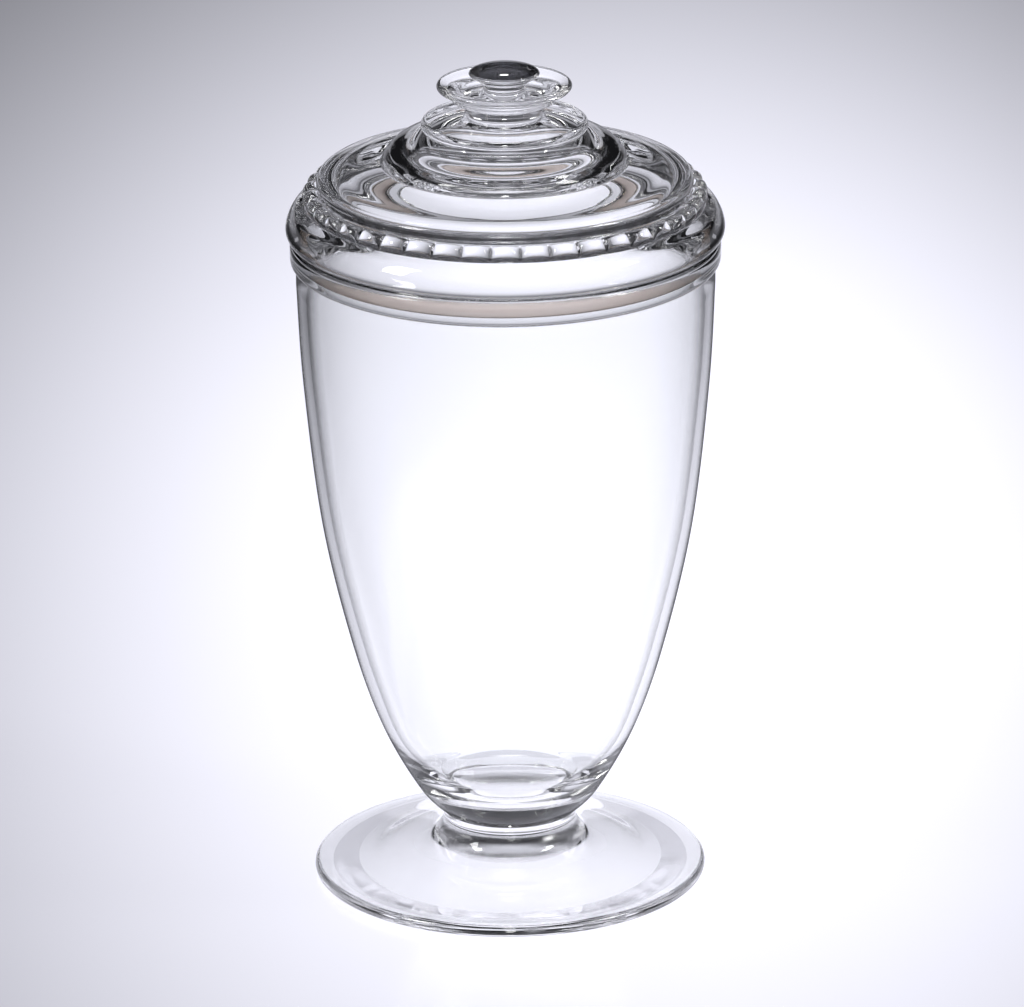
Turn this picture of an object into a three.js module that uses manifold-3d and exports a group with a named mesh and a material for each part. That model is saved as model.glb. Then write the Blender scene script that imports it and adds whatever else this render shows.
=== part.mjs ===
// Covered specimen jar in clear glass: a tall tapering bowl on a short stem and a wide disc foot,
// closed by a stepped, beaded dome lid with a button knob.
// Millimetres, +Z up, the foot rests on z = 0 and the axis of the jar is the Z axis.
import * as THREE from "three";
import { mergeVertices } from "three/addons/utils/BufferGeometryUtils.js";
import Module from "manifold-3d";

// Driving dimensions
const gap = 0.3;                 // air left between two pieces that touch
const wall = 3.0;                // glass thickness of the bowl at its mouth
const footRadius = 71.0;
const footEdge = 4.4;            // height of the rounded rim of the foot
const footHollow = 10.6;         // height of the hollow under the middle of the foot
const stemWaist = 24.0;          // smallest radius under the bowl
const stemFootTop = 16.2;        // height where the stem stands on the foot
const bowlBottom = 24.2;         // height where the bowl stands on the stem
const bowlRadius = 74.9;         // outer radius of the bowl under its lip
const lipTop = 241.6;            // height of the mouth of the jar
const lipBand = 8.8;             // height of the thickened band round the mouth
const sealThickness = 1.7;       // soft ring between the lid's plug and the mouth
const plugThickness = 3.4;
const beadCount = 42;
const crownRadius = 42.9;
const collarRadius = 29.8;
const neckRadius = 13.2;
const saucerRadius = 24.1;       // thin saucer of the knob
const buttonRadius = 12.6;

// Sizes that follow from them, so that lid, seal and mouth stay matched
const floorRadius = bowlRadius * 0.287;      // flat inside floor of the bowl
const floorHeight = bowlBottom + 10.0;
const mouthHeight = lipTop - 16.6;           // the bowl's wall is upright above this
const lipRadius = bowlRadius + 2.1;
const plugOuter = bowlRadius - wall - gap - sealThickness - gap;
const plugInner = plugOuter - plugThickness;
const plugBottom = lipTop - 11.0;
const rimRadius = bowlRadius + 3.5;          // widest radius of the lid
const rimBottom = lipTop + gap;
const beadCircle = rimRadius - 9.2;          // radius of the ring of beads
const beadHeight = rimBottom + 15.5;         // height of the bead centres
const domeRadius = rimRadius - 11.1;
const domeEdge = rimBottom + 23.2;           // height of the shoulder of the main dome
const crownFoot = domeEdge + 5.1;            // height where the crown leaves the dome
const collarHeight = crownFoot + 13.2;       // mid height of the round collar on the crown
const collarTop = collarHeight + 2.0;
const saucerBottom = collarTop + 5.9;
const saucerFloor = saucerBottom + 3.2;
const saucerHeight = saucerBottom + 6.3;     // mid height of the saucer's rounded edge
const buttonTop = saucerHeight + 7.4;

const jarSegments = 48;
const knobSegments = 32;

const clearGlass = { color: 0xdfe8ea, roughness: 0.05, transparent: true, opacity: 0.45 };
const sealRubber = { color: 0xd9cbbd, roughness: 0.6 };

const group = new THREE.Group();
group.name = "specimen_jar";

// One point of an outline: radius from the axis, height above the table.
function at(radius, height) {
  return new THREE.Vector2(radius, height);
}

// Points of a circular arc in an outline; angles in degrees, 0 pointing outwards and 90 up.
function arc(radius, height, size, from, to, steps) {
  const points = [];
  for (let i = 0; i <= steps; i += 1) {
    const angle = THREE.MathUtils.degToRad(from + ((to - from) * i) / steps);
    points.push(at(radius + size * Math.cos(angle), height + size * Math.sin(angle)));
  }
  return points;
}

// Points of a smooth curve that passes through a few given points.
function smooth(points, steps) {
  return new THREE.SplineCurve(points).getPoints(steps);
}

// A body turned about the axis of the jar.
// The outline runs with the glass on its left, so the faces look outwards.
function turned(outline, segments) {
  const geometry = new THREE.LatheGeometry(outline, segments);
  geometry.rotateX(Math.PI / 2);
  return geometry;
}

function addPiece(name, geometry, look) {
  const mesh = new THREE.Mesh(geometry, new THREE.MeshStandardMaterial(look));
  mesh.name = name;
  group.add(mesh);
}

// A ring outline has no point on the axis, so it is closed on its own first point.
function closed(outline) {
  return [...outline, outline[0].clone()];
}

// Foot: a shallow cone, hollow underneath, with a flat ring to stand on and a rolled rim.
function footOutline() {
  const ringInside = footRadius - 17;
  const ringOutside = footRadius - 7;
  const rim = footEdge / 2;
  return [
    ...smooth([
      at(0, footHollow),
      at(9, footHollow - 0.7),
      at(stemWaist, footHollow - 3.6),
      at(stemWaist + 16, 3.6),
      at(ringInside - 5, 1.2),
      at(ringInside, 0),
    ], 8),
    at(ringOutside, 0),
    ...arc(footRadius - rim, rim, rim, -80, 100, 6),
    at(footRadius - 4.6, footEdge - 0.65),
    ...smooth([
      at(ringOutside, footEdge - 0.1),
      at(footRadius * 0.73, footEdge + 2.9),
      at(stemWaist + 14, stemFootTop - 5.2),
      at(stemWaist + 7, stemFootTop - 3.1),
      at(stemWaist + 3.6, stemFootTop - 1.7),
      at(stemWaist + 2.0, stemFootTop),
    ], 9),
    at(0, stemFootTop),
  ];
}

// Short waisted stem between foot and bowl.
function stemOutline() {
  const low = stemFootTop + gap;
  const high = bowlBottom - gap;
  return [
    at(0, low),
    ...smooth([
      at(stemWaist + 1.9, low),
      at(stemWaist + 0.7, low + 2.1),
      at(stemWaist, high - 3.0),
      at(stemWaist + 0.5, high),
    ], 6),
    at(0, high),
  ];
}

// A point of the bowl's curve: shares of the mouth's radius and of the height from bowlBottom.
function onBowl(radiusShare, heightShare, inset) {
  const height = bowlBottom + heightShare * (mouthHeight - bowlBottom);
  return at(bowlRadius * radiusShare - inset, height);
}

// Bowl: outer curve up to the mouth, then the inner curve down to a flat thick floor.
function bowlOutline() {
  const outside = smooth([
    at(stemWaist + 0.7, bowlBottom),
    onBowl(0.446, 0.047, 0),
    onBowl(0.614, 0.163, 0),
    onBowl(0.753, 0.318, 0),
    onBowl(0.8905, 0.547, 0),
    onBowl(0.972, 0.811, 0),
    onBowl(1, 1, 0),
  ], 15);
  const inside = smooth([
    onBowl(1, 1, wall),
    onBowl(0.972, 0.811, wall + 0.1),
    onBowl(0.8905, 0.547, wall + 0.3),
    onBowl(0.753, 0.318, wall + 0.6),
    onBowl(0.614, 0.163, wall + 0.8),
    onBowl(0.511, 0.087, wall + 2.7),
    at(floorRadius + 4.4, floorHeight + 1.6),
  ], 13);
  return [
    at(0, bowlBottom),
    ...outside,
    at(bowlRadius, lipTop - 0.8),
    at(bowlRadius - 0.8, lipTop),
    at(bowlRadius - wall + 0.8, lipTop),
    at(bowlRadius - wall, lipTop - 0.8),
    ...inside,
    at(floorRadius, floorHeight + 0.3),
    at(0, floorHeight),
  ];
}

// Thickened band round the outside of the mouth, rounded at both edges.
function lipBandOutline() {
  const inner = bowlRadius + gap;
  const middle = lipTop - lipBand / 2;
  return closed([
    at(inner, lipTop - lipBand),
    at(lipRadius - 0.9, lipTop - lipBand),
    at(lipRadius - 0.1, lipTop - lipBand + 0.9),
    at(lipRadius, middle),
    at(lipRadius - 0.1, lipTop - 0.9),
    at(lipRadius - 0.9, lipTop),
    at(inner, lipTop),
  ]);
}

// Ring cast under the lid that drops into the mouth.
function plugRingOutline() {
  return closed([
    at(plugInner + 0.7, plugBottom),
    at(plugOuter - 0.7, plugBottom),
    at(plugOuter, plugBottom + 0.7),
    at(plugOuter, rimBottom - gap),
    at(plugInner, rimBottom - gap),
    at(plugInner, plugBottom + 0.7),
  ]);
}

// Soft ring that fills the space between the plug and the inside of the mouth.
function sealRingOutline() {
  const outer = bowlRadius - wall - gap;
  const inner = plugOuter + gap;
  const low = lipTop - 6.4;
  const high = lipTop - 1.8;
  return closed([
    at(inner, low),
    at(outer - 0.3, low),
    at(outer, low + 0.4),
    at(outer, high - 0.4),
    at(outer - 0.3, high),
    at(inner, high),
  ]);
}

// Lid: round rim, groove for the beads, main dome, crown, collar; hollow underneath.
function lidShellOutline() {
  const rim = smooth([
    at(rimRadius - 3.4, rimBottom),
    at(rimRadius - 0.8, rimBottom + 1.4),
    at(rimRadius, rimBottom + 3.8),
    at(rimRadius - 1.0, rimBottom + 7.6),
    at(rimRadius - 3.2, rimBottom + 11.0),
    at(beadCircle + 3.3, beadHeight - 2.8),
  ], 9);
  const beadGroove = [
    at(beadCircle + 2.6, beadHeight - 3.3),
    at(domeRadius - 0.9, beadHeight - 3.3),
    at(domeRadius - 0.9, beadHeight + 2.6),
    at(domeRadius, beadHeight + 3.4),
  ];
  const dome = [
    ...arc(domeRadius - 2.8, domeEdge - 2.8, 2.8, 0, 75, 4),
    at(domeRadius * 0.8, domeEdge + 3.2),
    at(crownRadius + 0.4, crownFoot - 0.4),
  ];
  const crown = smooth([
    at(crownRadius, crownFoot + 0.2),
    at(crownRadius + 0.3, crownFoot + 2.0),
    at(crownRadius - 1.4, crownFoot + 4.2),
    at((crownRadius + collarRadius) / 2 + 2.2, crownFoot + 6.7),
    at(collarRadius - 0.6, collarHeight - 1.6),
  ], 8);
  const collar = arc(collarRadius - 2.0, collarHeight, 2.0, -35, 90, 5);
  const under = smooth([
    at(0, crownFoot + 7.8),
    at(collarRadius * 0.47, crownFoot + 7.0),
    at(collarRadius * 0.89, crownFoot + 3.4),
    at(crownRadius * 0.85, crownFoot - 2.6),
    at(domeRadius * 0.773, domeEdge - 1.5),
    at(domeRadius - 6.5, domeEdge - 4.5),
    at(domeRadius - 3.5, domeEdge - 11.1),
    at(plugInner, rimBottom),
  ], 13);
  return [
    ...under,
    ...rim,
    ...beadGroove,
    ...dome,
    ...crown,
    ...collar,
    at(0, collarTop),
  ];
}

// Waisted neck between the collar and the saucer of the knob.
function knobNeckOutline() {
  const low = collarTop + gap;
  const high = saucerBottom - gap;
  return [
    at(0, low),
    ...smooth([
      at(neckRadius + 1.8, low),
      at(neckRadius, low + 1.2),
      at(neckRadius + 0.6, low + 3.2),
      at(neckRadius + 2.6, high),
    ], 7),
    at(0, high),
  ];
}

// Thin saucer of the knob: dished on top, with a rounded edge.
function saucerOutline() {
  const edge = 1.2;
  const middle = saucerRadius - edge;
  return [
    at(0, saucerBottom),
    at(neckRadius + 2.8, saucerBottom),
    at(middle - 2.4, saucerHeight - 2.6),
    ...arc(middle, saucerHeight, edge, -60, 100, 5),
    at(middle - 3.2, saucerHeight + 0.2),
    at(buttonRadius * 1.11, saucerFloor + 0.7),
    at(buttonRadius * 0.75, saucerFloor),
    at(0, saucerFloor),
  ];
}

// Mushroom button on a waisted column that stands in the saucer.
function buttonOutline() {
  const low = saucerFloor + gap;
  return [
    at(0, low),
    ...smooth([
      at(buttonRadius * 0.72, low),
      at(buttonRadius * 0.6, low + 1.9),
      at(buttonRadius * 0.67, low + 4.3),
      at(buttonRadius - 1.5, buttonTop - 4.1),
      at(buttonRadius, buttonTop - 2.6),
      at(buttonRadius - 0.8, buttonTop - 1.2),
      at(buttonRadius - 2.6, buttonTop - 0.5),
      at(buttonRadius - 6.6, buttonTop - 0.1),
    ], 14),
    at(0, buttonTop),
  ];
}

// Ring of flattened beads on a narrow base strip, joined into one body.
async function beadRingGeometry() {
  const wasm = await Module();
  wasm.setup();
  const solidOf = (geometry) => {
    const bare = new THREE.BufferGeometry();
    bare.setAttribute("position", geometry.toNonIndexed().getAttribute("position"));
    const merged = mergeVertices(bare, 1e-4);
    return new wasm.Manifold(new wasm.Mesh({
      numProp: 3,
      vertProperties: merged.attributes.position.array,
      triVerts: new Uint32Array(merged.index.array),
    }));
  };
  const strip = turned(closed([
    at(domeRadius - 0.6, beadHeight - 2.2),
    at(beadCircle + 0.6, beadHeight - 2.2),
    at(beadCircle + 0.6, beadHeight + 1.0),
    at(domeRadius - 0.6, beadHeight + 2.0),
  ]), beadCount);
  let ring = solidOf(strip);
  const pitch = (2 * Math.PI * beadCircle) / beadCount;
  for (let i = 0; i < beadCount; i += 1) {
    const bead = new THREE.SphereGeometry(1, 8, 5);
    bead.scale(2.6, pitch * 0.49, 3.0);
    bead.translate(beadCircle, 0, beadHeight);
    bead.rotateZ(((i + 0.5) * 2 * Math.PI) / beadCount);
    ring = ring.add(solidOf(bead));
  }
  const mesh = ring.getMesh();
  const geometry = new THREE.BufferGeometry();
  geometry.setAttribute("position", new THREE.BufferAttribute(mesh.vertProperties, 3));
  geometry.setIndex(new THREE.BufferAttribute(mesh.triVerts, 1));
  geometry.computeVertexNormals();
  return geometry;
}

addPiece("foot", turned(footOutline(), jarSegments), clearGlass);
addPiece("stem", turned(stemOutline(), knobSegments), clearGlass);
addPiece("bowl", turned(bowlOutline(), jarSegments), clearGlass);
addPiece("lip_band", turned(lipBandOutline(), jarSegments), clearGlass);
addPiece("seal_ring", turned(sealRingOutline(), jarSegments), sealRubber);
addPiece("plug_ring", turned(plugRingOutline(), jarSegments), clearGlass);
addPiece("lid_shell", turned(lidShellOutline(), jarSegments), clearGlass);
addPiece("bead_ring", await beadRingGeometry(), clearGlass);
addPiece("knob_neck", turned(knobNeckOutline(), knobSegments), clearGlass);
addPiece("knob_flange", turned(saucerOutline(), knobSegments), clearGlass);
addPiece("knob_button", turned(buttonOutline(), knobSegments), clearGlass);

export default group;
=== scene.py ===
"""Looks for the covered specimen jar: fused clear glass, a translucent seal ring, a pale light table."""
import math

import bpy
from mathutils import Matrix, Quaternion, Vector


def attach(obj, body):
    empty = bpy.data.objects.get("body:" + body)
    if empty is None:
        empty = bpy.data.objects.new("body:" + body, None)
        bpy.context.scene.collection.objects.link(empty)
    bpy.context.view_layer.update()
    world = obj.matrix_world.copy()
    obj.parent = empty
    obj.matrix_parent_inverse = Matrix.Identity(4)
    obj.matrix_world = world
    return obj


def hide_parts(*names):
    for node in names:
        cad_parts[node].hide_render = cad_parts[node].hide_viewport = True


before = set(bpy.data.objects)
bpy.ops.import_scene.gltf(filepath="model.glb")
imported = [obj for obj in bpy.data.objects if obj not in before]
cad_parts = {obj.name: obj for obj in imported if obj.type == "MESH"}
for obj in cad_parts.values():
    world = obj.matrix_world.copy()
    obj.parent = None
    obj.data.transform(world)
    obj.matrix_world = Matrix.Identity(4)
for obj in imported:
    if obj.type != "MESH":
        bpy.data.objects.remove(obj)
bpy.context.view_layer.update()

MM = 0.001
NEAR = 1e-6                         # millimetres: closer points are one point
SHARP_ANGLE = math.radians(38)      # edges sharper than this stay crisp
TURNS = 288                         # steps round the axis of the turned pieces
CLEAR, JOINT, TONED, GROUND = 0, 1, 2, 3     # material slots of a glass piece

# Sizes in millimetres, the same as in the CAD model
FOOT_RADIUS = 71.0
FOOT_EDGE = 4.4
FOOT_HOLLOW = 10.6
STAND_INNER = FOOT_RADIUS - 17      # the flat ring that the foot stands on
STAND_OUTER = FOOT_RADIUS - 7
STEM_WAIST = 24.0
STEM_FOOT_RADIUS = STEM_WAIST + 2.0
STEM_FOOT_TOP = 16.2
STEM_TOP_RADIUS = STEM_WAIST + 0.7
BOWL_BOTTOM = 24.2
BOWL_RADIUS = 74.9
FLOOR_RADIUS = 21.5
FLOOR_HEIGHT = 34.2
WALL = 3.0
LIP_TOP = 241.6
LIP_BAND = 8.8
LIP_RADIUS = BOWL_RADIUS + 2.1
MOUTH_HEIGHT = LIP_TOP - 16.6       # where the bowl's sides become upright
GAP = 0.3                           # between pieces that can come apart
SEAL_THICK = 1.7
SEAL_BOTTOM = LIP_TOP - 6.4
SEAL_TOP = LIP_TOP - 1.8
PLUG_OUTER = BOWL_RADIUS - WALL - GAP - SEAL_THICK - GAP
PLUG_INNER = PLUG_OUTER - 3.4
PLUG_BOTTOM = LIP_TOP - 11.0
RIM_RADIUS = 78.4
RIM_BOTTOM = LIP_TOP + GAP
BEADS = 42
BEAD_CIRCLE = 69.2
BEAD_HEIGHT = 257.4
DOME_RADIUS = 67.3
DOME_EDGE = 265.1
GROOVE_IN = DOME_RADIUS - 0.7       # the step in the lid that holds the beads
GROOVE_OUT = BEAD_CIRCLE + 2.1
GROOVE_LOW = BEAD_HEIGHT - 2.6
GROOVE_HIGH = BEAD_HEIGHT + 2.6
CROWN_RADIUS = 42.9
CROWN_FOOT = 270.2
COLLAR_RADIUS = 29.8
COLLAR_HEIGHT = 283.4
COLLAR_TOP = COLLAR_HEIGHT + 2.0
NECK_RADIUS = 13.2
NECK_FOOT_RADIUS = NECK_RADIUS + 2.2
NECK_TOP_RADIUS = NECK_RADIUS + 2.6
SAUCER_RADIUS = 24.1
SAUCER_EDGE = 1.2
SAUCER_HEIGHT = 297.6
SAUCER_BOTTOM = 291.3
SAUCER_TOP = SAUCER_BOTTOM + 3.2
BUTTON_RADIUS = 12.6
BUTTON_FOOT_RADIUS = 9.2
BUTTON_TOP = 305.0

# Light in the table, in metres
POOL_CENTRE = (0.05, 0.33)
POOL_REACH = (0.31, 0.85)           # across and along: the light falls to about a third here
FAR_START = 1.2                     # from here the table grows pale again
FAR_FULL = 2.9


def line(*points):
    """Straight stretches of an outline, each point (radius, height)."""
    return [tuple(p) for p in points]


def arc(radius, height, size, start, end, steps=12):
    """Round stretch of an outline; 0 degrees points outwards and 90 up."""
    points = []
    for i in range(steps + 1):
        angle = math.radians(start + (end - start) * i / steps)
        points.append((radius + size * math.cos(angle), height + size * math.sin(angle)))
    return points


def smooth(points, per=8):
    """A Catmull-Rom curve through the points, with `per` steps between two of them."""
    ends = [points[0]] + list(points) + [points[-1]]
    made = []
    for i in range(1, len(ends) - 2):
        p0, p1, p2, p3 = (Vector(ends[i + k]) for k in (-1, 0, 1, 2))
        for s in range(per):
            t = s / per
            v = 0.5 * (2 * p1 + (p2 - p0) * t + (2 * p0 - 5 * p1 + 4 * p2 - p3) * t * t
                       + (3 * p1 - p0 - 3 * p2 + p3) * t * t * t)
            made.append((v.x, v.y))
    made.append(tuple(points[-1]))
    return made


def outline(*runs):
    """Joins runs into one outline. A run is a list of points, or (points, slot)."""
    points, slots = [], []
    for run in runs:
        stretch, slot = run if isinstance(run, tuple) else (run, CLEAR)
        for p in stretch:
            if points and abs(points[-1][0] - p[0]) + abs(points[-1][1] - p[1]) < NEAR:
                continue
            points.append(p)
            slots.append(slot)
    return points, slots


def turned(name, points, slots, ring=False, turns=TURNS, shape=None):
    """Turns an outline about the axis. slots[i] is the material of the stretch that ends at point i.

    A ring's outline is closed. shape(i, angle, radius, height) may move point i at an angle.
    """
    verts, faces, mats = [], [], []
    rows = []
    for i, (radius, height) in enumerate(points):
        if radius < NEAR:
            rows.append([len(verts)])
            verts.append((0, 0, height * MM))
            continue
        row = []
        for k in range(turns):
            angle = 2 * math.pi * k / turns
            r, z = shape(i, angle, radius, height) if shape else (radius, height)
            row.append(len(verts))
            verts.append((r * MM * math.cos(angle), r * MM * math.sin(angle), z * MM))
        rows.append(row)
    pairs = list(zip(range(len(rows) - 1), range(1, len(rows))))
    if ring:
        pairs.append((len(rows) - 1, 0))
    for i, j in pairs:
        low, high = rows[i], rows[j]
        for k in range(turns):
            n = (k + 1) % turns
            if len(low) == 1:
                faces.append((low[0], high[n], high[k]))
            elif len(high) == 1:
                faces.append((low[k], low[n], high[0]))
            else:
                faces.append((low[k], low[n], high[n], high[k]))
            mats.append(slots[j])
    mesh = bpy.data.meshes.new(name)
    mesh.from_pydata(verts, [], faces)
    mesh.validate()
    mesh.polygons.foreach_set("material_index", mats)
    mesh.polygons.foreach_set("use_smooth", [True] * len(faces))
    mesh.update()
    mesh.set_sharp_from_angle(angle=SHARP_ANGLE)
    obj = bpy.data.objects.new(name, mesh)
    bpy.context.scene.collection.objects.link(obj)
    return obj


# Materials

def new_material(name):
    mat = bpy.data.materials.new(name)
    mat.use_nodes = True
    nodes = mat.node_tree.nodes
    nodes.clear()
    return mat, nodes, mat.node_tree.links


def add_node(nodes, kind, **values):
    """Adds a shader node. Its inputs are given by name, with underscores for spaces."""
    node = nodes.new("ShaderNode" + kind)
    for name, value in values.items():
        node.inputs[name.replace("_", " ")].default_value = value
    return node


def surface_noise(nodes, links, scale, detail, stretch=(1.0, 1.0, 1.0)):
    """Noise over the piece's own coordinates, which are scaled by `stretch` first."""
    coords = add_node(nodes, "TexCoord")
    mapping = add_node(nodes, "Mapping", Scale=stretch)
    noise = add_node(nodes, "TexNoise", Scale=scale, Detail=detail)
    links.new(coords.outputs["Object"], mapping.inputs["Vector"])
    links.new(mapping.outputs["Vector"], noise.inputs["Vector"])
    return noise.outputs["Fac"]


def add_bump(nodes, links, height, shader, strength, distance):
    """Tilts the shader's surface by a height pattern."""
    bump = add_node(nodes, "Bump", Strength=strength, Distance=distance)
    links.new(height, bump.inputs["Height"])
    links.new(bump.outputs["Normal"], shader.inputs["Normal"])


def colour_ramp(nodes, *stops):
    """Adds a ramp with the stops (position, (red, green, blue)), in order."""
    ramp = add_node(nodes, "ValToRGB")
    elements = ramp.color_ramp.elements
    elements[0].position = stops[0][0]
    elements[1].position = stops[-1][0]
    for position, colour in stops[1:-1]:
        elements.new(position)
    for element, (position, colour) in zip(elements, stops):
        element.color = (*colour, 1)
    return ramp


def painted_edge_shade(nodes, links, glass):
    """Mixes a dark body into the glass where it is seen almost edge on: painted shade along the edges."""
    dark = add_node(nodes, "BsdfPrincipled", Base_Color=(0.05, 0.052, 0.055, 1), Roughness=0.6,
                    Specular_IOR_Level=0.0)
    edge = add_node(nodes, "LayerWeight", Blend=0.5)
    ramp = colour_ramp(nodes, (0.66, (0, 0, 0)), (0.79, (0.30, 0.30, 0.30)), (0.90, (0.85, 0.85, 0.85)))
    mix = add_node(nodes, "MixShader")
    links.new(edge.outputs["Facing"], ramp.inputs["Fac"])
    links.new(ramp.outputs["Color"], mix.inputs["Fac"])
    links.new(glass.outputs["BSDF"], mix.inputs[1])
    links.new(dark.outputs["BSDF"], mix.inputs[2])
    return mix.outputs["Shader"]


def clear_glass(name, tint=(0.985, 0.99, 0.988), ripple=0.00002, streak=0.02, frost=0.0, edge_painted_shade=False):
    """Old pressed glass with slight ripples. Its roughness runs from frost to frost + streak."""
    mat, nodes, links = new_material(name)
    out = add_node(nodes, "OutputMaterial")
    glass = add_node(nodes, "BsdfPrincipled", Base_Color=(*tint, 1), Transmission_Weight=1.0, IOR=1.5)
    wave = surface_noise(nodes, links, 22.0, 1.5, stretch=(1.0, 1.0, 0.35))
    add_bump(nodes, links, wave, glass, 1.0, ripple)
    smear = surface_noise(nodes, links, 60.0, 6.0)
    polish = add_node(nodes, "MapRange", From_Min=0.5, From_Max=0.8, To_Min=frost, To_Max=frost + streak)
    links.new(smear, polish.inputs["Value"])
    links.new(polish.outputs["Result"], glass.inputs["Roughness"])
    surface = painted_edge_shade(nodes, links, glass) if edge_painted_shade else glass.outputs["BSDF"]
    links.new(surface, out.inputs["Surface"])
    return mat


def joint_clear():
    """Faces where two pieces are fused: no surface is left there, so nothing is seen."""
    mat, nodes, links = new_material("fused_joint")
    out = add_node(nodes, "OutputMaterial")
    none = add_node(nodes, "BsdfTransparent")
    links.new(none.outputs["BSDF"], out.inputs["Surface"])
    return mat


def seal_material():
    """Aged translucent seal: warm beige with fine lines that run round it."""
    mat, nodes, links = new_material("seal_beige")
    out = add_node(nodes, "OutputMaterial")
    soft = add_node(nodes, "BsdfPrincipled", Roughness=0.3, Transmission_Weight=0.85, IOR=1.42)
    grain = surface_noise(nodes, links, 120.0, 4.0, stretch=(0.3, 0.3, 9.0))
    ramp = colour_ramp(nodes, (0.3, (0.93, 0.79, 0.69)), (0.75, (1.0, 0.91, 0.83)))
    links.new(grain, ramp.inputs["Fac"])
    links.new(ramp.outputs["Color"], soft.inputs["Base Color"])
    add_bump(nodes, links, grain, soft, 0.6, 0.0001)
    links.new(soft.outputs["BSDF"], out.inputs["Surface"])
    return mat


GLASS_JAR = clear_glass("jar_glass")
# the bowl gets painted shade along its edge-on outline
GLASS_BOWL = clear_glass("bowl_glass", edge_painted_shade=True)
GLASS_GROUND = clear_glass("ground_glass", tint=(0.95, 0.95, 0.96), ripple=0.00003, frost=0.25)
# stand ring: the rough streaks are wear, the grey tint is painted shade
GLASS_WORN_AND_SHADED = clear_glass("worn_and_shaded_glass", tint=(0.68, 0.68, 0.69), ripple=0.00002, streak=0.4)
GLASS_LID = clear_glass("lid_glass", tint=(0.97, 0.972, 0.972), ripple=0.00001, streak=0.01)
# dark glass under each bead: painted shade
GLASS_SHADE = clear_glass("bead_shade_glass", tint=(0.12, 0.12, 0.125), ripple=0.00001, streak=0.01)
# near-black glass on the button's cap: painted shade
GLASS_CAP_PAINTED_SHADE = clear_glass("cap_painted_shade_glass", tint=(0.008, 0.008, 0.009), ripple=0.00001, streak=0.01)
FUSED = joint_clear()
SEAL = seal_material()


def finish_piece(obj, node, body, slot, *materials):
    """Gives the object its materials, hides its CAD node and ties it to its body. The slot argument is not
    used.
    """
    for mat in materials:
        obj.data.materials.append(mat)
    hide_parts(node)
    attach(obj, body)


# Pieces. Outlines are (radius, height) in millimetres.

def make_foot():
    """A disc with a rolled rim, hollow underneath, ground under the stem, and worn where it stands; that
    ring is also tinted grey as painted shade.
    """
    rim = FOOT_EDGE / 2
    points, slots = outline(
        (smooth([(0, FOOT_HOLLOW), (9, FOOT_HOLLOW - 0.7), (24, 7.0)]), GROUND),
        smooth([(24, 7.0), (40, 3.6), (STAND_INNER - 5, 1.2), (STAND_INNER, 0)]),
        # the ring the foot stands on: worn, with a grey tint that is painted shade
        (line((STAND_OUTER, 0)), TONED),
        arc(FOOT_RADIUS - rim, rim, rim, -80, 95, 24),
        smooth([(68.3, 4.38), (65.6, 4.35), (62.0, 4.95), (52, 7.3), (38, 11.0), (31, 13.1), (27.6, 14.5),
                (STEM_FOOT_RADIUS, STEM_FOOT_TOP)]),
        (line((STEM_FOOT_RADIUS, STEM_FOOT_TOP), (0, STEM_FOOT_TOP)), JOINT),
    )
    finish_piece(turned("foot_glass", points, slots), "foot", "jar", "clear_glass",
                 GLASS_JAR, FUSED, GLASS_WORN_AND_SHADED, GLASS_GROUND)


def make_stem():
    low, high = STEM_FOOT_TOP, BOWL_BOTTOM
    points, slots = outline(
        line((0, low)),
        (line((STEM_FOOT_RADIUS, low)), JOINT),
        smooth([(STEM_FOOT_RADIUS, low), (STEM_TOP_RADIUS, low + 2.4),
                (STEM_WAIST, high - 3.2), (STEM_TOP_RADIUS, high)]),
        (line((0, high)), JOINT),
    )
    finish_piece(turned("stem_glass", points, slots), "stem", "jar", "clear_glass", GLASS_JAR, FUSED)


def make_bowl():
    """The tapering bowl, from its fused bottom up the outside, over the lip and down to the floor."""
    band_low = LIP_TOP - LIP_BAND
    inner = BOWL_RADIUS - WALL
    floor_bend = (FLOOR_RADIUS + 4.4, FLOOR_HEIGHT + 1.6)
    points, slots = outline(
        line((0, BOWL_BOTTOM)),
        (line((STEM_TOP_RADIUS, BOWL_BOTTOM)), JOINT),
        smooth([(STEM_TOP_RADIUS, BOWL_BOTTOM), (33.4, 33.6), (46.0, 57.0), (56.4, 88.0),
                (66.7, 134.0), (72.8, 187.0), (BOWL_RADIUS, MOUTH_HEIGHT)], 12),
        line((BOWL_RADIUS, band_low)),
        (line((BOWL_RADIUS, LIP_TOP)), JOINT),
        arc(inner + 0.8, LIP_TOP - 0.8, 0.8, 90, 180, 6),
        smooth([(inner, MOUTH_HEIGHT), (69.7, 187.0), (63.4, 134.0), (52.8, 88.0), (42.2, 57.0),
                (32.6, 41.6), floor_bend], 12),
        smooth([floor_bend, (FLOOR_RADIUS, FLOOR_HEIGHT + 0.3), (FLOOR_RADIUS - 5, FLOOR_HEIGHT)], 6),
        line((0, FLOOR_HEIGHT)),
    )
    finish_piece(turned("bowl_glass", points, slots), "bowl", "jar", "clear_glass", GLASS_BOWL, FUSED)


def make_lip_band():
    """A soft band round the outside of the mouth; its inner side is fused to the bowl."""
    low = LIP_TOP - LIP_BAND
    points, slots = outline(
        smooth([(BOWL_RADIUS, low - 0.2), (LIP_RADIUS - 1.2, low), (LIP_RADIUS - 0.15, low + 1.2),
                (LIP_RADIUS, LIP_TOP - LIP_BAND / 2), (LIP_RADIUS - 0.15, LIP_TOP - 1.2),
                (LIP_RADIUS - 1.2, LIP_TOP - 0.05)], 8),
        line((BOWL_RADIUS, LIP_TOP)),
    )
    slots[0] = JOINT
    finish_piece(turned("lip_band_glass", points, slots, ring=True), "lip_band", "jar", "clear_glass",
                 GLASS_JAR, FUSED)


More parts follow.
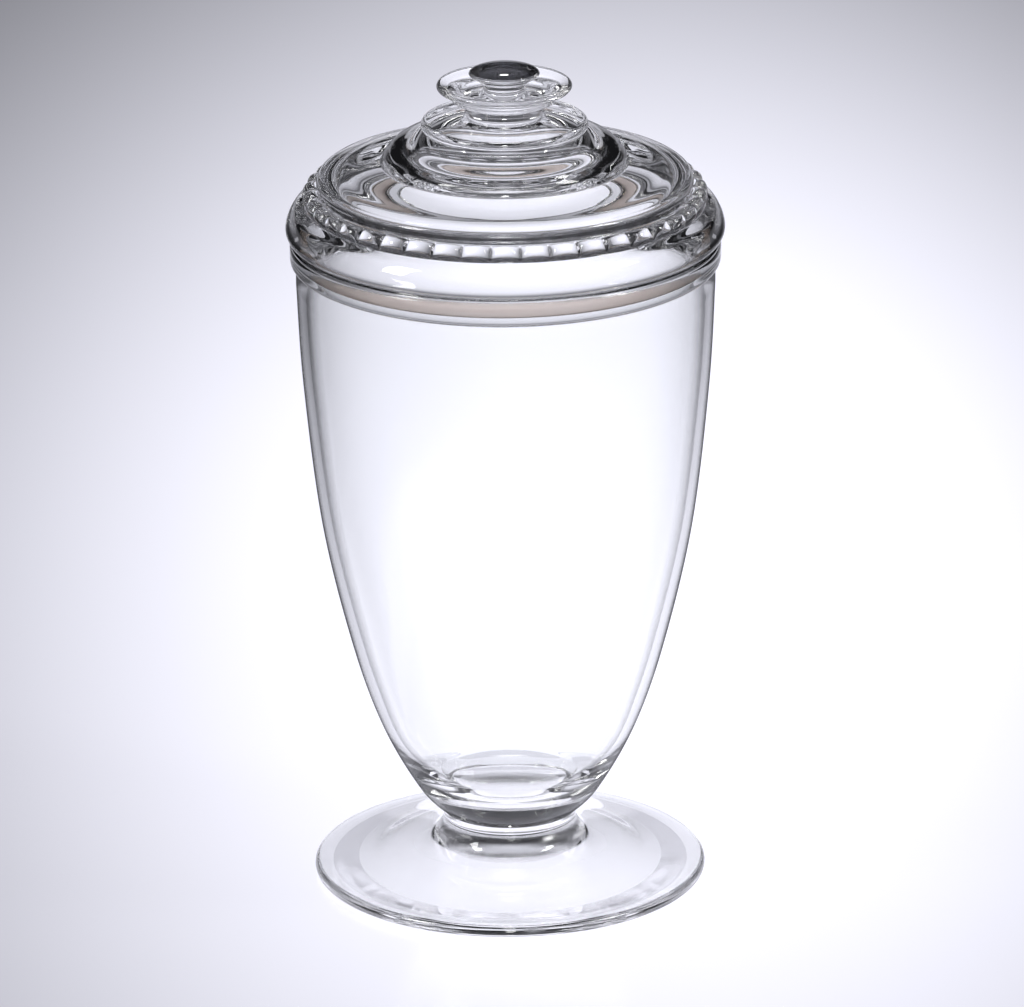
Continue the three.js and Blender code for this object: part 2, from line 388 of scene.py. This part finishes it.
def make_seal():
    """The soft ring fills the space between the plug and the bowl, all but a hair on each side."""
    hair, corner = 0.1, 0.4
    outer = BOWL_RADIUS - WALL - hair
    inner = PLUG_OUTER + hair
    points, slots = outline(
        line((inner, SEAL_BOTTOM), (outer - corner, SEAL_BOTTOM)),
        arc(outer - corner, SEAL_BOTTOM + corner, corner, -90, 0, 4),
        arc(outer - corner, SEAL_TOP - corner, corner, 0, 90, 4),
        line((inner, SEAL_TOP)),
    )
    finish_piece(turned("seal_ring_soft", points, slots, ring=True), "seal_ring", "seal", "seal", SEAL)


def make_plug_ring():
    corner = 0.9
    points, slots = outline(
        arc(PLUG_INNER + corner, PLUG_BOTTOM + corner, corner, 180, 270, 5),
        arc(PLUG_OUTER - corner, PLUG_BOTTOM + corner, corner, -90, 0, 5),
        line((PLUG_OUTER, RIM_BOTTOM)),
        (line((PLUG_INNER, RIM_BOTTOM)), JOINT),
    )
    finish_piece(turned("plug_ring_glass", points, slots, ring=True), "plug_ring", "lid", "clear_glass",
                 GLASS_LID, FUSED)


def make_lid_shell():
    """The hollow lid: down the inside, round the rim, up the bead step, the dome, crown and collar."""
    under = smooth([(0, 278.0), (14, 277.2), (26.5, 273.6), (36.5, 267.6), (52.0, 263.6),
                    (60.8, 260.6), (63.8, 254.0), (PLUG_INNER, RIM_BOTTOM)], 10)
    dome_corner = 2.8
    collar_edge = COLLAR_TOP - COLLAR_HEIGHT
    points, slots = outline(
        under,
        (line((PLUG_OUTER, RIM_BOTTOM)), JOINT),
        smooth([(RIM_RADIUS - 3.4, RIM_BOTTOM), (RIM_RADIUS - 0.8, RIM_BOTTOM + 1.4),
                (RIM_RADIUS, RIM_BOTTOM + 3.8), (RIM_RADIUS - 1.0, RIM_BOTTOM + 7.6),
                (RIM_RADIUS - 3.2, RIM_BOTTOM + 11.0), (GROOVE_OUT + 0.8, GROOVE_LOW),
                (GROOVE_OUT, GROOVE_LOW)], 10),
        (line((GROOVE_IN, GROOVE_LOW), (GROOVE_IN, GROOVE_HIGH)), JOINT),
        arc(DOME_RADIUS - dome_corner, DOME_EDGE - dome_corner, dome_corner, 0, 75, 12),
        smooth([(65.2, DOME_EDGE - 0.1), (54.0, DOME_EDGE + 3.1), (CROWN_RADIUS + 1.0, CROWN_FOOT - 0.6)]),
        smooth([(CROWN_RADIUS, CROWN_FOOT + 0.2), (CROWN_RADIUS + 0.3, CROWN_FOOT + 2.0),
                (CROWN_RADIUS - 1.4, CROWN_FOOT + 4.2), (38.6, 276.9),
                (COLLAR_RADIUS - 0.6, COLLAR_HEIGHT - 1.6)], 10),
        arc(COLLAR_RADIUS - collar_edge, COLLAR_HEIGHT, collar_edge, -35, 90, 16),
        smooth([(COLLAR_RADIUS - collar_edge, COLLAR_TOP), (22, COLLAR_TOP - 0.3),
                (NECK_FOOT_RADIUS, COLLAR_TOP)]),
        (line((0, COLLAR_TOP)), JOINT),
    )
    finish_piece(turned("lid_shell_glass", points, slots), "lid_shell", "lid", "clear_glass",
                 GLASS_LID, FUSED)


def make_beads():
    """One ring of oblate beads: each swells out of a narrow base strip and meets the next in a crease."""
    steps = 24
    turns_per_bead = 28
    half = math.pi / BEADS
    size = 3.0
    corner = (GROOVE_IN + 1.3, GROOVE_LOW + 1.3)
    low, high = (GROOVE_OUT, GROOVE_LOW), (GROOVE_IN, GROOVE_HIGH)
    start, end = -70.0, 152.0
    crease = 0.22               # how far the beads still swell where they meet
    flat, full = [low], [low]
    for i in range(1, steps):
        t = 2 * i / steps
        a, b, share = (low, corner, t) if t < 1 else (corner, high, t - 1)
        flat.append((a[0] + (b[0] - a[0]) * share, a[1] + (b[1] - a[1]) * share))
        turn = math.radians(start + (end - start) * i / steps)
        full.append((BEAD_CIRCLE + size * math.cos(turn), BEAD_HEIGHT + size * math.sin(turn)))
    flat += [high, (GROOVE_IN, GROOVE_LOW)]
    full += [high, (GROOVE_IN, GROOVE_LOW)]
    slots = [CLEAR] * (steps + 1) + [JOINT]
    slots[0] = JOINT
    shaded = steps // 3         # the lower third gets dark glass as painted shade
    slots[1:shaded] = [TONED] * (shaded - 1)

    def swell(i, angle, radius, height):
        off = (angle % (2 * half)) / half - 1.0
        share = crease + (1.0 - crease) * math.sqrt(max(0.0, 1.0 - off * off))
        return radius + (full[i][0] - radius) * share, height + (full[i][1] - height) * share

    obj = turned("bead_ring_glass", flat, slots, ring=True, turns=BEADS * turns_per_bead, shape=swell)
    finish_piece(obj, "bead_ring", "lid", "clear_glass", GLASS_LID, FUSED, GLASS_SHADE)


def make_neck():
    low, high = COLLAR_TOP, SAUCER_BOTTOM
    points, slots = outline(
        line((0, low)),
        (line((NECK_FOOT_RADIUS, low)), JOINT),
        smooth([(NECK_FOOT_RADIUS, low), (NECK_RADIUS + 0.1, low + 1.2), (NECK_RADIUS + 0.5, low + 3.2),
                (NECK_TOP_RADIUS, high)]),
        (line((0, high)), JOINT),
    )
    finish_piece(turned("knob_neck_glass", points, slots), "knob_neck", "lid", "clear_glass",
                 GLASS_LID, FUSED)


def make_saucer():
    """A thin dished disc with a round edge."""
    middle = SAUCER_RADIUS - SAUCER_EDGE
    points, slots = outline(
        line((0, SAUCER_BOTTOM)),
        (line((NECK_TOP_RADIUS, SAUCER_BOTTOM)), JOINT),
        smooth([(NECK_TOP_RADIUS, SAUCER_BOTTOM), (18.4, 292.6), (middle - 2.0, SAUCER_HEIGHT - 2.5),
                (middle + 0.5, SAUCER_HEIGHT - 1.1)]),
        arc(middle, SAUCER_HEIGHT, SAUCER_EDGE, -60, 100, 20),
        smooth([(middle - 0.3, SAUCER_HEIGHT + 1.15), (middle - 3.2, SAUCER_HEIGHT + 0.2), (14.0, 295.2),
                (BUTTON_FOOT_RADIUS, SAUCER_TOP)]),
        (line((0, SAUCER_TOP)), JOINT),
    )
    finish_piece(turned("knob_saucer_glass", points, slots), "knob_flange", "lid", "clear_glass",
                 GLASS_LID, FUSED)


def make_button():
    """A waisted column under a low cap; the cap's near-black glass is painted shade."""
    low = SAUCER_TOP
    cap_edge = (BUTTON_RADIUS - 0.6, BUTTON_TOP - 1.9)
    column = smooth([(BUTTON_FOOT_RADIUS, low), (7.5, low + 2.2), (8.4, low + 4.6),
                     (BUTTON_RADIUS - 1.5, BUTTON_TOP - 4.1), (BUTTON_RADIUS, BUTTON_TOP - 2.9),
                     cap_edge], 10)
    cap = smooth([cap_edge, (BUTTON_RADIUS - 2.0, BUTTON_TOP - 1.25),
                  (BUTTON_RADIUS - 4.8, BUTTON_TOP - 0.6), (4.0, BUTTON_TOP - 0.12), (0, BUTTON_TOP)], 10)
    points, slots = outline(
        line((0, low)),
        (line((BUTTON_FOOT_RADIUS, low)), JOINT),
        column,
        # the cap: near-black glass as painted shade
        (cap, TONED),
    )
    finish_piece(turned("knob_button_glass", points, slots), "knob_button", "lid", "clear_glass",
                 GLASS_LID, FUSED, GLASS_CAP_PAINTED_SHADE)


# Stage

def table_material():
    """A pale table top that glows: a soft pool of light behind the jar, and a pale far part."""
    mat, nodes, links = new_material("pale_table")
    out = add_node(nodes, "OutputMaterial")
    table = add_node(nodes, "BsdfPrincipled", Base_Color=(0.10, 0.10, 0.11, 1), Roughness=0.18,
                     Emission_Strength=1.0)
    coords = add_node(nodes, "TexCoord")
    centre = (-POOL_CENTRE[0] / POOL_REACH[0], -POOL_CENTRE[1] / POOL_REACH[1], 0)
    shift = add_node(nodes, "Mapping", Location=centre, Scale=(1 / POOL_REACH[0], 1 / POOL_REACH[1], 1))
    reach = add_node(nodes, "VectorMath")
    reach.operation = "DOT_PRODUCT"
    fall = add_node(nodes, "Math")
    fall.operation = "MULTIPLY"
    fall.inputs[1].default_value = -1.0
    pool = add_node(nodes, "Math")
    pool.operation = "EXPONENT"
    level = add_node(nodes, "MapRange", To_Min=0.03, To_Max=1.22)
    span = add_node(nodes, "VectorMath")
    span.operation = "LENGTH"
    beyond = add_node(nodes, "MapRange", From_Min=FAR_START, From_Max=FAR_FULL, To_Max=0.42)
    beyond.interpolation_type = "SMOOTHSTEP"
    total = add_node(nodes, "Math")
    tint = add_node(nodes, "VectorMath")
    tint.operation = "SCALE"
    tint.inputs[0].default_value = (1.0, 1.0, 1.12)
    links.new(coords.outputs["Object"], shift.inputs["Vector"])
    links.new(shift.outputs["Vector"], reach.inputs[0])
    links.new(shift.outputs["Vector"], reach.inputs[1])
    links.new(reach.outputs["Value"], fall.inputs[0])
    links.new(fall.outputs["Value"], pool.inputs[0])
    links.new(pool.outputs["Value"], level.inputs["Value"])
    links.new(coords.outputs["Object"], span.inputs[0])
    links.new(span.outputs["Value"], beyond.inputs["Value"])
    links.new(level.outputs["Result"], total.inputs[0])
    links.new(beyond.outputs["Result"], total.inputs[1])
    links.new(total.outputs["Value"], tint.inputs["Scale"])
    links.new(tint.outputs["Vector"], table.inputs["Emission Color"])
    links.new(table.outputs["BSDF"], out.inputs["Surface"])
    return mat


def make_floor():
    """A wide round table top, just below the foot."""
    size, steps = 18.0, 96
    below = 0.0003
    verts = [(0, 0, 0)]
    for k in range(steps):
        angle = 2 * math.pi * k / steps
        verts.append((size * math.cos(angle), size * math.sin(angle), 0))
    faces = [(0, 1 + k, 1 + (k + 1) % steps) for k in range(steps)]
    mesh = bpy.data.meshes.new("floor")
    mesh.from_pydata(verts, [], faces)
    mesh.materials.append(table_material())
    floor = bpy.data.objects.new("floor", mesh)
    floor.location.z = -below
    bpy.context.scene.collection.objects.link(floor)


def make_world():
    """A dark room with a pale strip of wall at the height of the horizon."""
    world = bpy.data.worlds.new("room")
    bpy.context.scene.world = world
    world.use_nodes = True
    nodes, links = world.node_tree.nodes, world.node_tree.links
    coords = add_node(nodes, "TexCoord")
    split = add_node(nodes, "SeparateXYZ")
    ramp = colour_ramp(nodes, (0.045, (0.46, 0.46, 0.50)), (0.10, (0.008, 0.008, 0.009)))
    ramp.color_ramp.interpolation = "EASE"
    links.new(coords.outputs["Generated"], split.inputs["Vector"])
    links.new(split.outputs["Z"], ramp.inputs["Fac"])
    links.new(ramp.outputs["Color"], nodes["Background"].inputs["Color"])


def area_light(name, place, aim, power, width, height=None):
    """An area lamp that points at `aim`: a rectangle, or without a height a disk."""
    light = bpy.data.lights.new(name, "AREA")
    light.energy = power
    light.size = width
    if height is None:
        light.shape = "DISK"
    else:
        light.shape = "RECTANGLE"
        light.size_y = height
    obj = bpy.data.objects.new(name, light)
    obj.location = place
    obj.rotation_mode = "QUATERNION"
    obj.rotation_quaternion = (Vector(aim) - Vector(place)).to_track_quat("-Z", "Y")
    bpy.context.scene.collection.objects.link(obj)


def make_lights():
    area_light("ceiling_lamp", (0, 1.5, 1.6), (0, 0, 0.3), 1.4, 0.15)
    area_light("softbox_left", (-1.6, -0.8, 1.5), (0, 0, 0.15), 20, 0.5, 0.9)
    area_light("softbox_right", (1.5, -0.4, 1.7), (0, 0, 0.15), 16, 0.4, 0.8)


def make_camera():
    """A long lens about 3.5 m away, looking down about 20 degrees."""
    lens = 340.8
    away, up = 3.285, 1.3205
    tilt, roll, pan = math.radians(19.765), -0.0075, -0.0005
    cam = bpy.data.cameras.new("camera")
    cam.lens = lens
    cam.sensor_width = 36.0
    cam.clip_end = 60.0
    obj = bpy.data.objects.new("camera", cam)
    obj.location = (0, -away, up)
    obj.rotation_mode = "QUATERNION"
    obj.rotation_quaternion = (Quaternion((0, 0, 1), pan) @ Quaternion((1, 0, 0), math.pi / 2 - tilt)
                               @ Quaternion((0, 0, 1), roll))
    bpy.context.scene.collection.objects.link(obj)
    bpy.context.scene.camera = obj


make_foot()
make_stem()
make_bowl()
make_lip_band()
make_seal()
make_plug_ring()
make_lid_shell()
make_beads()
make_neck()
make_saucer()
make_button()
make_floor()
make_world()
make_lights()
make_camera()

scene = bpy.context.scene
scene.view_settings.view_transform = "Standard"
scene.cycles.max_bounces = 32
scene.cycles.transmission_bounces = 32
scene.cycles.glossy_bounces = 16
scene.cycles.transparent_max_bounces = 48
